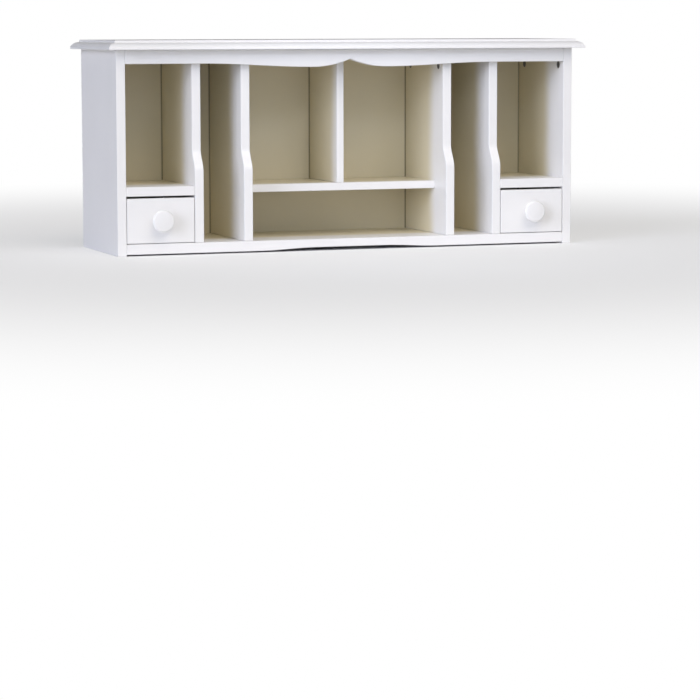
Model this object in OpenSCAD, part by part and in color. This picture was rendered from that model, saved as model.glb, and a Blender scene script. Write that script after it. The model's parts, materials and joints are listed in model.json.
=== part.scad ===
// Desk hutch: a lacquered board case that stands on a desk top. Its seven bays are four tall ones, two
// halves over a middle shelf and a low one under it, and a small drawer closes the foot of each end bay.
// Origin: centre of the case's footprint on the desk top. +X right, +Y back, +Z up.

/* [Case] */
// Width over the two side panels
case_w = 944; // [780:1:1300]
// Depth from the front face to the rear edges
case_d = 260; // [215:1:340]
// Height of the side panels, up to the underside of the top board
case_h = 392; // [325:1:500]
// Thickness of the side panels
side_t = 18; // [16:0.5:25]
// Thickness of the four tall dividers
divider_t = 18; // [16:0.5:25]
// Clear width of each end bay, over its drawer
end_bay_w = 136; // [110:1:170]
// Clear width of each narrow bay
slot_bay_w = 81; // [55:1:110]
// Thickness of the bottom board
bottom_t = 15; // [15:0.5:17]
// Thickness of the back panel
back_t = 5; // [3:0.5:8]
// Distance from the case's rear edges to the rear face of the back panel
back_recess = 33; // [4:1:40]
// Depth of the grooves that hold the back panel
groove_d = 5; // [3:0.5:7]

/* [Top board] */
// Thickness of the top board
top_t = 18; // [16:0.5:25]
// Overhang of the top board past the case front
over_front = 24; // [16:1:35]
// Overhang of the top board past each side panel
over_side = 19; // [16:1:35]
// Overhang of the top board past the case's rear edges
over_rear = 12; // [6:1:25]
// Width of the moulded edge, from its lip in to the top face
mould_w = 15; // [10:0.5:16]
// Height of the small upright step at the top of the moulding
mould_step = 4.5; // [2:0.5:6]
// Height of the upright lip at the foot of the moulding
lip_h = 3.5; // [2:0.5:6]
// Radius of the moulding's round
mould_r = 16; // [14:0.5:24]

/* [Rails] */
// Thickness of the top and bottom rails
rail_t = 18; // [16:0.5:25]
// Height of the top rail at its ends
top_rail_h = 27; // [24:1:45]
// How far the top rail's two lobes hang below its ends
lobe_drop = 7.6; // [0:0.1:15]
// Distance from the rail's centre to the bottom of each lobe
lobe_x = 75; // [40:1:110]
// Length over which each lobe runs out to the straight end
lobe_run = 225; // [120:1:250]
// Rise of the pointed notch above the lobes
notch_rise = 15.2; // [5:0.1:20]
// Height of the bottom rail
bottom_rail_h = 20; // [20:0.5:35]
// Gap under the bottom rail
base_gap = 3; // [1:0.5:8]
// Rise of the shallow arch under the bottom rail
arch_rise = 4; // [0:0.5:5]
// Half the length of the arch's straight middle
arch_flat = 70; // [20:1:100]
// Half the whole length of the arch
arch_half = 185; // [130:1:250]

/* [Shelves and dividers] */
// Thickness of the shelves over the drawers
shelf_t = 18; // [16:0.5:25]
// Thickness of the middle shelf and of the divider that stands on it
middle_t = 15; // [15:0.5:20]
// Clear height under the middle shelf
low_bay_h = 90.5; // [60:0.5:130]
// How far the middle shelf and its divider stand back from the case front
middle_setback = 60; // [18:1:70]
// Height of straight front edge on a tall divider, from the drawer shelf up to its curve
curve_above_shelf = 26; // [5:0.5:60]
// Height of the S curve that sets a tall divider's upper edge back
curve_h = 45; // [25:1:80]

/* [Drawers] */
// Height of a drawer front
front_h = 86; // [70:1:110]
// Thickness of a drawer front
front_t = 16; // [14:0.5:20]
// Gap over a drawer front
gap_top = 4; // [1:0.5:6]
// Gap under a drawer front
gap_low = 1; // [1:0.5:3]
// Gap each side of a drawer front
gap_side = 1; // [1:0.5:4]
// Gap each side of a drawer box
box_gap = 3; // [1:0.5:5]
// Running gap between a drawer box and the bottom board
box_lift = 0.3; // [0.3:0.1:1]
// Thickness of a drawer's sides and back
box_t = 12; // [10:0.5:14]
// Height of a drawer's sides
box_h = 70; // [50:1:80]
// Thickness of a drawer's bottom
drawer_bottom_t = 4; // [3:0.5:6]
// Height of a drawer bottom above the lower edge of the drawer's sides
drawer_bottom_lift = 8; // [6:0.5:12]
// Depth of the grooves that hold a drawer bottom
drawer_groove_d = 5; // [3:0.5:6]
// Depth of the stop block behind a drawer
stop_d = 8; // [4:0.5:20]
// Width of a stop block
stop_w = 40; // [20:1:60]
// Height of a stop block
stop_h = 15; // [14:1:30]

/* [Knobs] */
// Diameter of a knob's head
knob_d = 43; // [30:1:50]
// How far a knob stands out of its drawer front
knob_l = 23; // [20:1:40]
// Diameter of a knob's foot
knob_foot_d = 18; // [14:1:22]
// Diameter of a knob's neck
knob_neck_d = 14; // [10:1:16]
// Radius of the round rim of a knob's head
knob_rim_r = 4.5; // [3:0.5:6]
// Crown of a knob's face
knob_crown = 1.2; // [0:0.1:3]

/* [Fasteners] */
// Diameter of the case dowels
dowel_d = 8; // [6:1:8]
// Length of the case dowels
dowel_l = 30; // [24:1:32]
// Length of a case dowel that goes into the face of a board
dowel_in = 10; // [8:0.5:10]
// Diameter of the drawer dowels
small_dowel_d = 6; // [4:1:6]
// Length of the drawer dowels
small_dowel_l = 25; // [20:1:30]
// Diameter of a cam lock
cam_d = 15; // [12:1:15]
// Depth of a cam lock's hole beyond the axis of its bolt
cam_below = 3.5; // [3.5:0.5:5]
// Distance from a cam's centre to the joint it pulls up
cam_reach = 34; // [24:1:38]
// Length of a cam bolt's thread
bolt_thread_l = 11; // [8:0.5:11]
// Distance from the front edge of a divider or the bottom board to its front cams
cam_front = 25; // [12:1:40]
// Gap between the top rail and the front cams of the side panels
cam_rail_gap = 0.5; // [0.2:0.1:5]
// Distance from the back panel to the rear row of cams
cam_rear = 27; // [18:1:35]
// Distance from the case front to the front row of dowels
dowel_front = 85; // [80:1:95]
// Distance from the back panel to the rear row of dowels
dowel_rear = 67; // [60:1:70]
// Diameter of the locating holes under the side panels
desk_hole_d = 8; // [6:0.5:10]
// Depth of the locating holes under the side panels
desk_hole_l = 10; // [8:0.5:10]
// Distance from the front to the rear locating holes
desk_hole_y = 180; // [120:1:190]

/* [Hidden] */
$fn = 48;

// Colours
lacquer = "#f1f0ee";
raw_board = "#c9a878";
beech = "#d9b98a";
zinc = "#8f9296";
steel = "#b8bcc2";

// Clearances
dowel_fit = 0.05;     // round a dowel in its hole
dowel_end_gap = 1;    // past each end of a dowel, for glue
cam_fit = 0.1;        // round a cam lock, and under it
bolt_fit = 0.05;      // round a bolt's or screw's thread
screw_clear = 0.2;    // round a screw that passes through
groove_fit = 0.1;     // each side of a panel in its groove
panel_end_gap = 0.5;  // between a panel's edge and the foot of its groove
cut = 1;              // how far a cutting shape runs past the face it cuts

// Places of the case's faces
y_front = -case_d / 2;
y_rear = case_d / 2;
y_back = y_rear - back_recess - back_t;
y_curve = y_front + rail_t;
y_middle = y_front + middle_setback;
floor_z = base_gap + bottom_rail_h;
inner_w = case_w - 2 * side_t;
x_side = (case_w - side_t) / 2;
x_outer = inner_w / 2 - end_bay_w - divider_t / 2;
x_inner = x_outer - slot_bay_w - divider_t;
x_end = (inner_w - end_bay_w) / 2;
middle_w = 2 * x_inner - divider_t;
front_z = floor_z + gap_low;
shelf_z = front_z + front_h + gap_top;
middle_z = floor_z + low_bay_h;
middle_top = middle_z + middle_t;
bottom_mid = floor_z - bottom_t / 2;
shelf_mid = shelf_z + shelf_t / 2;
middle_mid = middle_z + middle_t / 2;
rail_y = y_front + rail_t / 2;
top_rail_mid = case_h - top_rail_h / 2;
curve_z = shelf_z + shelf_t + curve_above_shelf;

// Rows of fasteners
side_cam_ys = [y_curve + cam_d / 2 + cam_rail_gap, y_back - cam_rear];
board_cam_ys = [y_curve + cam_front, y_back - cam_rear];
dowel_ys = [y_front + dowel_front, y_back - dowel_rear];
divider_xs = [-x_outer, -x_inner, x_inner, x_outer];
rail_dowel_xs = [-x_end, -x_inner / 2, x_inner / 2, x_end];
bolt_hole_r = 4;
bolt_pocket_r = 3.8;
bolt_head_r = 3.4;
bolt_neck_r = 2.1;
bolt_shank_r = 3;
bolt_thread_r = 2.5;
bolt_head_l = 3.2;
bolt_neck_l = 6;
cam_slot_w = 1.6;
cam_slot_l = 9;
cam_slot_d = 1.5;

// Screws through the back panel into the rear edges of the dividers
back_screw_r = 1.5;
back_screw_l = 18;
back_head_r = 3.2;
back_head_h = 2.2;
back_screw_margin = 50;
tall_screw_zs = [floor_z + back_screw_margin, (floor_z + case_h) / 2, case_h - back_screw_margin];
short_screw_zs = [middle_top + back_screw_margin, case_h - back_screw_margin];

// Drawer box
front_w = end_bay_w - 2 * gap_side;
box_w = end_bay_w - 2 * box_gap;
box_z = floor_z + box_lift;
box_y0 = y_front + front_t;
box_y1 = y_back - stop_d - box_lift;
tray_z = box_z + drawer_bottom_lift;
back_lower = tray_z + drawer_bottom_t;
back_drop = 5;
back_h = box_z + box_h - back_drop - back_lower;
knob_z = front_z + front_h / 2;
box_dowel_zs = [box_z + 25, box_z + box_h - 13];
box_dowel_in = 9;
box_screw_zs = [back_lower + 12, back_lower + back_h - 12];
box_screw_r = 1.75;
box_screw_head_r = 3.5;
box_screw_head_h = 2.4;
box_screw_l = 28;
knob_screw_r = 2;
knob_screw_in = 13;
knob_screw_end_gap = 1;
knob_head_r = 4;
knob_head_h = 2.5;
knob_foot_h = 2;

// 0 to 1 with a level start and end, as t goes from 0 to 1
function ease(t) = (1 - cos(180 * t)) / 2;

// Points on a round of radius r that runs from p to q and bulges to the left of that direction
function round_points(p, q, r, n = 12) =
    let (
        d = q - p,
        c = norm(d),
        centre = (p + q) / 2 + [d[1], -d[0]] / c * sqrt(r * r - c * c / 4),
        a = atan2(p[1] - centre[1], p[0] - centre[0]),
        b = atan2(q[1] - centre[1], q[0] - centre[0])
    )
    [for (i = [0:n]) centre + r * [cos(a + (b - a) * i / n), sin(a + (b - a) * i / n)]];

// Moulded edge, as [distance in from the lip, height], from the underside up
mould_points = concat(
    [[0, 0]],
    round_points([0, lip_h], [mould_w, top_t - mould_step], mould_r),
    [[mould_w, top_t]]
);

// Outline of the top board from lip a to lip b, as [place, height]
function moulded_view(a, b) = concat(
    [for (p = mould_points) [a + p[0], case_h + p[1]]],
    [for (i = [len(mould_points) - 1:-1:0]) [b - mould_points[i][0], case_h + mould_points[i][1]]]
);

// Height of the top rail's lower edge at distance a from its centre
lobe_z = case_h - top_rail_h - lobe_drop;
function top_rail_edge(a) =
    a < lobe_x ? lobe_z + notch_rise * pow(1 - a / lobe_x, 2)
    : lobe_z + lobe_drop * ease(min(1, (a - lobe_x) / lobe_run));

// Height of the bottom rail's lower edge at distance a from its centre
function bottom_rail_edge(a) =
    base_gap + arch_rise * (1 - ease(max(0, min(1, (a - arch_flat) / (arch_half - arch_flat)))));

// Both halves of a rail's lower edge, left to right, from the points of its right half
function both_halves(right) = concat(
    [for (i = [len(right) - 1:-1:1]) [-right[i][0], right[i][1]]],
    right
);

// A plate with its outline given as [y, z] and its thickness t centred on x
module plate_yz(points, x, t) {
    translate([x - t / 2, 0, 0]) rotate([90, 0, 90]) linear_extrude(t) polygon(points);
}

// A plate with its outline given as [x, z], from y0 to y1
module plate_xz(points, y0, y1) {
    translate([0, y1, 0]) rotate([90, 0, 0]) linear_extrude(y1 - y0) polygon(points);
}

// A box between two corners
module box(low, high) {
    translate(low) cube(high - low);
}

// Points its children, which run along +Z, along +X, -X, +Y, -Y or -Z
module aim(way) {
    turn = way == "+x" ? [0, 90, 0]
        : way == "-x" ? [0, -90, 0]
        : way == "+y" ? [-90, 0, 0]
        : way == "-y" ? [90, 0, 0]
        : way == "-z" ? [180, 0, 0]
        : [0, 0, 0];
    rotate(turn) children();
}

// A dowel that crosses the plane z = 0, with its last "into" above it; or the hole for it
module dowel(hole, d, l, into) {
    tip = 1;
    if (hole) {
        translate([0, 0, into - l - dowel_end_gap])
            cylinder(d = d + 2 * dowel_fit, h = l + 2 * dowel_end_gap);
    } else {
        translate([0, 0, into - l]) {
            cylinder(d1 = d - 2 * tip, d2 = d, h = tip);
            translate([0, 0, tip]) cylinder(d = d, h = l - 2 * tip);
            translate([0, 0, l - tip]) cylinder(d1 = d, d2 = d - 2 * tip, h = tip);
        }
    }
}

module case_dowel(hole, at, way) {
    translate(at) aim(way) dowel(hole, dowel_d, dowel_l, dowel_in);
}

// Dowels up into the top board, from the side panels, the dividers and the top rail
module top_dowel_set(hole = false) {
    for (x = concat([-x_side, 0, x_side], divider_xs), y = dowel_ys)
        case_dowel(hole, [x, y, case_h], "+z");
}

// Dowels down into the bottom board, and from its ends into the side panels
module base_dowel_set(hole = false) {
    for (x = divider_xs, y = dowel_ys)
        case_dowel(hole, [x, y, floor_z], "-z");
    for (y = dowel_ys) {
        case_dowel(hole, [inner_w / 2, y, bottom_mid], "+x");
        case_dowel(hole, [-inner_w / 2, y, bottom_mid], "-x");
    }
}

// Dowels at the ends of the three shelves, and under the divider on the middle shelf
module shelf_dowel_set(hole = false) {
    for (y = dowel_ys) {
        case_dowel(hole, [-inner_w / 2, y, shelf_mid], "-x");
        case_dowel(hole, [-x_outer - divider_t / 2, y, shelf_mid], "+x");
        case_dowel(hole, [-middle_w / 2, y, middle_mid], "-x");
        case_dowel(hole, [middle_w / 2, y, middle_mid], "+x");
        case_dowel(hole, [x_outer + divider_t / 2, y, shelf_mid], "-x");
        case_dowel(hole, [inner_w / 2, y, shelf_mid], "+x");
        case_dowel(hole, [0, y, middle_top], "-z");
    }
}

// Dowels at the ends of both rails, up from the top rail, and back from the bottom rail
module rail_dowel_set(hole = false) {
    for (z = [bottom_mid, top_rail_mid]) {
        case_dowel(hole, [inner_w / 2, rail_y, z], "+x");
        case_dowel(hole, [-inner_w / 2, rail_y, z], "-x");
    }
    for (x = rail_dowel_xs) {
        case_dowel(hole, [x, rail_y, case_h], "+z");
        case_dowel(hole, [x, y_front + rail_t, bottom_mid], "-y");
    }
}

// Runs its children at each cam lock under the top board, with its origin on the cam's centre in the
// middle of the board, +Z along the bolt and +X out of the face that the cam is let into
module each_top_cam() {
    for (side = [-1, 1], b = [[x_side, side_cam_ys], [x_inner, board_cam_ys]], y = b[1])
        translate([side * b[0], y, case_h - cam_reach]) rotate([0, 0, side > 0 ? 180 : 0]) children();
}

// The same for the cam locks under the bottom board
module each_base_cam() {
    for (y = board_cam_ys, side = [-1, 1])
        translate([side * (inner_w / 2 - cam_reach), y, bottom_mid]) rotate([0, side * 90, 0])
            rotate([0, 0, side > 0 ? 0 : 180]) children();
}

// A cam lock for a board of thickness t: a round housing, slotted for a screwdriver and hollow
// where it takes the bolt's head
module cam_lock(t) {
    difference() {
        translate([cam_fit - cam_below, 0, 0]) rotate([0, 90, 0])
            cylinder(d = cam_d - 2 * cam_fit, h = t / 2 + cam_below - cam_fit);
        translate([0, 0, -bolt_pocket_r]) cylinder(r = bolt_pocket_r, h = cam_d);
        for (w = [[cam_slot_w, cam_slot_l], [cam_slot_l, cam_slot_w]])
            translate([t / 2 - cam_slot_d, -w[0] / 2, -w[1] / 2]) cube([cam_slot_d + cut, w[0], w[1]]);
    }
}

// The hole for a cam lock, and the hole for its bolt
module cam_hole(t) {
    translate([-cam_below, 0, 0]) rotate([0, 90, 0]) cylinder(d = cam_d, h = t / 2 + cam_below + cut);
    cylinder(r = bolt_hole_r, h = cam_reach + cut);
}

// A cam bolt: head, neck and shank, then a thread in the board beyond the joint
module cam_bolt() {
    translate([0, 0, -bolt_head_l / 2]) cylinder(r = bolt_head_r, h = bolt_head_l);
    translate([0, 0, bolt_head_l / 2]) cylinder(r = bolt_neck_r, h = bolt_neck_l);
    translate([0, 0, bolt_head_l / 2 + bolt_neck_l])
        cylinder(r = bolt_shank_r, h = cam_reach - bolt_head_l / 2 - bolt_neck_l);
    translate([0, 0, cam_reach]) cylinder(r = bolt_thread_r, h = bolt_thread_l);
}

// The hole for a cam bolt's thread
module bolt_thread_hole() {
    translate([0, 0, cam_reach - cut])
        cylinder(r = bolt_thread_r + bolt_fit, h = bolt_thread_l + dowel_end_gap + cut);
}

// The space that the back panel's edges need, cut as a groove from each board round the panel
module back_groove() {
    box(
        [-inner_w / 2 - groove_d, y_back - groove_fit, floor_z - groove_d],
        [inner_w / 2 + groove_d, y_back + back_t + groove_fit, case_h + groove_d]
    );
}

// Runs its children at each screw through the back panel, +Z along the screw
module each_back_screw() {
    for (x = divider_xs, z = tall_screw_zs)
        translate([x, y_back + back_t, z]) aim("-y") children();
    for (z = short_screw_zs)
        translate([0, y_back + back_t, z]) aim("-y") children();
}

module back_screw_holes() {
    each_back_screw() translate([0, 0, -cut])
        cylinder(r = back_screw_r + bolt_fit, h = back_screw_l + dowel_end_gap + cut);
}

// Top board, moulded along all four edges
module top_board() {
    lip_x = case_w / 2 + over_side;
    lip_y0 = y_front - over_front;
    lip_y1 = y_rear + over_rear;
    color(lacquer) difference() {
        intersection() {
            plate_yz(moulded_view(lip_y0, lip_y1), 0, 2 * lip_x);
            plate_xz(moulded_view(-lip_x, lip_x), lip_y0, lip_y1);
        }
        top_dowel_set(hole = true);
        rail_dowel_set(hole = true);
        each_top_cam() bolt_thread_hole();
        back_groove();
    }
}

// Side panel: side is -1 for the left one and 1 for the right one
module side_panel(side) {
    x0 = side * x_side - side_t / 2;
    color(lacquer) difference() {
        box([x0, y_front, 0], [x0 + side_t, y_rear, case_h]);
        top_dowel_set(hole = true);
        base_dowel_set(hole = true);
        shelf_dowel_set(hole = true);
        rail_dowel_set(hole = true);
        each_top_cam() cam_hole(side_t);
        each_base_cam() bolt_thread_hole();
        back_groove();
        for (y = [-1, 1] * desk_hole_y / 2)
            translate([side * x_side, y, -cut]) cylinder(d = desk_hole_d, h = desk_hole_l + cut);
    }
}

// Bottom board, behind the bottom rail
module bottom_board() {
    color(lacquer) difference() {
        box([-inner_w / 2, y_front + rail_t, floor_z - bottom_t], [inner_w / 2, y_rear, floor_z]);
        base_dowel_set(hole = true);
        rail_dowel_set(hole = true);
        each_base_cam() cam_hole(bottom_t);
        back_groove();
    }
}

// Top rail with two lobes and a pointed notch between them
module top_rail() {
    notch_steps = 8;
    run_steps = 14;
    right = concat(
        [for (i = [0:notch_steps]) lobe_x * i / notch_steps],
        [for (i = [1:run_steps]) lobe_x + lobe_run * i / run_steps],
        [inner_w / 2]
    );
    lower = both_halves([for (a = right) [a, top_rail_edge(a)]]);
    color(lacquer) difference() {
        plate_xz(concat(lower, [[inner_w / 2, case_h], [-inner_w / 2, case_h]]), y_front, y_front + rail_t);
        rail_dowel_set(hole = true);
    }
}

// Bottom rail with a shallow arch under its middle
module bottom_rail() {
    steps = 10;
    right = concat(
        [0],
        [for (i = [0:steps]) arch_flat + (arch_half - arch_flat) * i / steps],
        [inner_w / 2]
    );
    lower = both_halves([for (a = right) [a, bottom_rail_edge(a)]]);
    color(lacquer) difference() {
        plate_xz(
            concat(lower, [[inner_w / 2, floor_z], [-inner_w / 2, floor_z]]),
            y_front, y_front + rail_t
        );
        rail_dowel_set(hole = true);
    }
}

// Tall divider at x: its front edge is flush below and stands behind the top rail above
module tall_divider(x) {
    steps = 12;
    outline = concat(
        [[y_back, case_h], [y_back, floor_z], [y_front, floor_z]],
        [for (i = [0:steps]) [y_front + rail_t * ease(i / steps), curve_z + curve_h * i / steps]],
        [[y_curve, case_h]]
    );
    color(lacquer) difference() {
        plate_yz(outline, x, divider_t);
        top_dowel_set(hole = true);
        base_dowel_set(hole = true);
        shelf_dowel_set(hole = true);
        each_top_cam() cam_hole(divider_t);
        back_screw_holes();
    }
}

// Short divider that stands on the middle shelf
module centre_divider() {
    color(lacquer) difference() {
        box([-middle_t / 2, y_middle, middle_top], [middle_t / 2, y_back, case_h]);
        top_dowel_set(hole = true);
        shelf_dowel_set(hole = true);
        back_screw_holes();
    }
}

// Shelf over a drawer
module drawer_shelf(side) {
    x0 = side * x_end - end_bay_w / 2;
    color(lacquer) difference() {
        box([x0, y_front, shelf_z], [x0 + end_bay_w, y_back, shelf_z + shelf_t]);
        shelf_dowel_set(hole = true);
    }
}

// Middle shelf, set back from the case front
module centre_shelf() {
    color(lacquer) difference() {
        box([-middle_w / 2, y_middle, middle_z], [middle_w / 2, y_back, middle_top]);
        shelf_dowel_set(hole = true);
    }
}

// Back panel, held in the grooves all round
module back_panel() {
    edge = groove_d - panel_end_gap;
    color(lacquer) difference() {
        box(
            [-inner_w / 2 - edge, y_back, floor_z - edge],
            [inner_w / 2 + edge, y_back + back_t, case_h + edge]
        );
        each_back_screw() translate([0, 0, -cut])
            cylinder(r = back_screw_r + screw_clear, h = back_t + 2 * cut);
    }
}

module top_cam_locks() {
    boards = [[x_side, side_cam_ys, side_t], [x_inner, board_cam_ys, divider_t]];
    color(zinc) for (side = [-1, 1], b = boards, y = b[1])
        translate([side * b[0], y, case_h - cam_reach]) rotate([0, 0, side > 0 ? 180 : 0]) cam_lock(b[2]);
}

module top_cam_bolts() {
    color(steel) each_top_cam() cam_bolt();
}

module base_cam_locks() {
    color(zinc) each_base_cam() cam_lock(bottom_t);
}

module base_cam_bolts() {
    color(steel) each_base_cam() cam_bolt();
}

module top_dowels() {
    color(beech) top_dowel_set();
}

module base_dowels() {
    color(beech) base_dowel_set();
}

module shelf_dowels() {
    color(beech) shelf_dowel_set();
}

module rail_dowels() {
    color(beech) rail_dowel_set();
}

// Pan-head screws through the back panel
module back_panel_screws() {
    color(steel) each_back_screw() {
        cylinder(r = back_screw_r, h = back_screw_l);
        translate([0, 0, -back_head_h]) cylinder(r1 = back_head_r - 1, r2 = back_head_r, h = back_head_h);
    }
}

// Block on the bottom board that stops a closed drawer with its front flush
module drawer_stop(side) {
    color(raw_board) box(
        [side * x_end - stop_w / 2, y_back - stop_d, floor_z],
        [side * x_end + stop_w / 2, y_back, floor_z + stop_h]
    );
}

// Runs its children at each dowel between a drawer's sides and its front, +Z into the front
module each_box_dowel(side) {
    for (s = [-1, 1], z = box_dowel_zs)
        translate([side * x_end + s * (box_w - box_t) / 2, box_y0, z]) aim("-y") children();
}

// Runs its children at each screw through a drawer's side into its back, +Z along the screw
module each_box_screw(side) {
    for (s = [-1, 1], z = box_screw_zs)
        translate([side * x_end + s * box_w / 2, box_y1 - box_t / 2, z])
            aim(s > 0 ? "-x" : "+x") children();
}

// Runs its children at a knob's seat on its drawer front, +Z out of the front
module at_knob(side) {
    translate([side * x_end, y_front, knob_z]) aim("-y") children();
}

// The space that a drawer's bottom panel slides in
module tray_groove(side) {
    half = box_w / 2 - box_t + drawer_groove_d;
    box(
        [side * x_end - half, box_y0 - drawer_groove_d, tray_z - groove_fit],
        [side * x_end + half, box_y1 + cut, tray_z + drawer_bottom_t + groove_fit]
    );
}

module drawer_front(side) {
    x0 = side * x_end - front_w / 2;
    color(lacquer) difference() {
        box([x0, y_front, front_z], [x0 + front_w, y_front + front_t, front_z + front_h]);
        each_box_dowel(side) dowel(true, small_dowel_d, small_dowel_l, box_dowel_in);
        tray_groove(side);
        at_knob(side) translate([0, 0, -front_t - cut])
            cylinder(r = knob_screw_r + screw_clear, h = front_t + 2 * cut);
    }
}

// One side of a drawer: s is -1 for its left side and 1 for its right side
module drawer_side(side, s) {
    x0 = side * x_end + s * (box_w - box_t) / 2 - box_t / 2;
    color(raw_board) difference() {
        box([x0, box_y0, box_z], [x0 + box_t, box_y1, box_z + box_h]);
        each_box_dowel(side) dowel(true, small_dowel_d, small_dowel_l, box_dowel_in);
        tray_groove(side);
        each_box_screw(side) {
            translate([0, 0, -cut]) cylinder(r = box_screw_r + screw_clear, h = box_t + 2 * cut);
            cylinder(
                r1 = box_screw_head_r + bolt_fit,
                r2 = box_screw_r + screw_clear,
                h = box_screw_head_h
            );
        }
    }
}

module drawer_back(side) {
    half = box_w / 2 - box_t;
    color(raw_board) difference() {
        box(
            [side * x_end - half, box_y1 - box_t, back_lower],
            [side * x_end + half, box_y1, back_lower + back_h]
        );
        each_box_screw(side)
            translate([0, 0, box_t - cut])
                cylinder(r = box_screw_r + bolt_fit, h = box_screw_l - box_t + dowel_end_gap + cut);
    }
}

module drawer_bottom(side) {
    half = box_w / 2 - box_t + drawer_groove_d - panel_end_gap;
    color(raw_board) box(
        [side * x_end - half, box_y0 - drawer_groove_d + panel_end_gap, tray_z],
        [side * x_end + half, box_y1, tray_z + drawer_bottom_t]
    );
}

module drawer_dowels(side) {
    color(beech) each_box_dowel(side) dowel(false, small_dowel_d, small_dowel_l, box_dowel_in);
}

// Countersunk screws
module drawer_screws(side) {
    color(steel) each_box_screw(side) {
        cylinder(r1 = box_screw_head_r, r2 = box_screw_r, h = box_screw_head_h);
        translate([0, 0, box_screw_head_h]) cylinder(r = box_screw_r, h = box_screw_l - box_screw_head_h);
    }
}

// Turned knob: a foot, a hollow neck and a flat head with a round rim
module knob(side) {
    steps = 10;
    head_z = knob_l - knob_crown - 2 * knob_rim_r;
    rim_x = knob_d / 2 - knob_rim_r;
    outline = concat(
        [[0, 0], [knob_foot_d / 2, 0], [knob_foot_d / 2, knob_foot_h]],
        [for (i = [1:steps])
            let (t = i / steps)
            [knob_neck_d / 2 + (knob_foot_d - knob_neck_d) / 2 * pow(1 - t, 2)
                + (rim_x - knob_neck_d / 2) * pow(t, 3),
             knob_foot_h + (head_z - knob_foot_h) * t]],
        [for (i = [0:steps]) let (a = 180 * i / steps - 90)
            [rim_x + knob_rim_r * cos(a), head_z + knob_rim_r + knob_rim_r * sin(a)]],
        [for (i = [1:steps]) let (t = i / steps) [rim_x * (1 - t), knob_l - knob_crown * pow(1 - t, 2)]]
    );
    color(lacquer) at_knob(side) difference() {
        rotate_extrude() polygon(outline);
        translate([0, 0, -cut])
            cylinder(r = knob_screw_r + bolt_fit, h = knob_screw_in + knob_screw_end_gap + cut);
    }
}

module knob_screw(side) {
    color(steel) at_knob(side) {
        translate([0, 0, -front_t]) cylinder(r = knob_screw_r, h = front_t + knob_screw_in);
        translate([0, 0, -front_t - knob_head_h])
            cylinder(r1 = knob_head_r - 1, r2 = knob_head_r, h = knob_head_h);
    }
}

top_board();
side_panel(-1);  // left_side_panel
side_panel(1);  // right_side_panel
bottom_board();
top_rail();
bottom_rail();
tall_divider(-x_outer);  // left_outer_divider
tall_divider(-x_inner);  // left_inner_divider
centre_divider();
tall_divider(x_inner);  // right_inner_divider
tall_divider(x_outer);  // right_outer_divider
drawer_shelf(-1);  // left_drawer_shelf
drawer_shelf(1);  // right_drawer_shelf
centre_shelf();
back_panel();
top_cam_locks();
top_cam_bolts();
base_cam_locks();
base_cam_bolts();
top_dowels();
base_dowels();
shelf_dowels();
rail_dowels();
back_panel_screws();
drawer_stop(-1);  // left_drawer_stop
drawer_stop(1);  // right_drawer_stop
drawer_front(-1);  // left_drawer_front
drawer_side(-1, -1);  // left_drawer_left_side
drawer_side(-1, 1);  // left_drawer_right_side
drawer_back(-1);  // left_drawer_back
drawer_bottom(-1);  // left_drawer_bottom
drawer_dowels(-1);  // left_drawer_dowels
drawer_screws(-1);  // left_drawer_screws
knob(-1);  // left_knob
knob_screw(-1);  // left_knob_screw
drawer_front(1);  // right_drawer_front
drawer_side(1, -1);  // right_drawer_left_side
drawer_side(1, 1);  // right_drawer_right_side
drawer_back(1);  // right_drawer_back
drawer_bottom(1);  // right_drawer_bottom
drawer_dowels(1);  // right_drawer_dowels
drawer_screws(1);  // right_drawer_screws
knob(1);  // right_knob
knob_screw(1);  // right_knob_screw
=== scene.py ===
# %% [markdown]
# # A desk hutch
#
# A hutch stands on a desk top and keeps small things within reach. This one is a flat-pack case: boards
# of fibreboard, sprayed with white satin lacquer, pulled together by dowels and cam locks. Four tall
# dividers, a middle shelf and a short divider make seven bays. A moulded board covers them, a scalloped
# rail hangs under its front, and at the foot of each end a small drawer with a turned knob slides in.
#
# The construction model gives every board its place. The lesson is how to give the boards the things
# that the eye looks for: eased arrises, a smooth moulding, soft lacquer, bare plywood in the drawers.

# %% Load the frame
import json
import math

import bpy
import numpy as np
from mathutils import Matrix, Vector
from mathutils.geometry import tessellate_polygon


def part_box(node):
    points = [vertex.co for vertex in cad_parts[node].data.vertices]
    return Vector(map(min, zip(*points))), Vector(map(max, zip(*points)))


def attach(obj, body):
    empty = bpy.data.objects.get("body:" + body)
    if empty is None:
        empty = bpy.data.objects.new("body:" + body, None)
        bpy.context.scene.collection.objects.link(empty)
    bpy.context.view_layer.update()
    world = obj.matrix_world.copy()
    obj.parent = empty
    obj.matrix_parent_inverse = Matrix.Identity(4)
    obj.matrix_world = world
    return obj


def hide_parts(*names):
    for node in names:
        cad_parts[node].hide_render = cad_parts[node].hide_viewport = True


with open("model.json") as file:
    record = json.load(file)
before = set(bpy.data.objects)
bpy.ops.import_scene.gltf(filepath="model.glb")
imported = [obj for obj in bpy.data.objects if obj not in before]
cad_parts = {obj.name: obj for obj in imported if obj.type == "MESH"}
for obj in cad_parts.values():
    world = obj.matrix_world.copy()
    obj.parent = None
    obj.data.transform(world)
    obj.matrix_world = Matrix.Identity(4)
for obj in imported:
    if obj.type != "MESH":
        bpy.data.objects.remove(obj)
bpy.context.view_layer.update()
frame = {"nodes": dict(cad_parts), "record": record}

# %% [markdown]
# ## From arrays to a piece
#
# A shape here is a set of patches. A patch is an array of points, the true normal at each point, and
# faces that index them. Where patches meet, their points are merged, so the skin is closed, but each
# face corner keeps its own patch's normal. The flat of a board is then lit as a flat, and its rounded
# edge as a round, which averaged normals never manage on long thin faces.
#
# Each point also carries where it lies in its board, as (along the grain, across it, through the
# thickness), and how far it is round an arris. The finishes read both.

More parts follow.
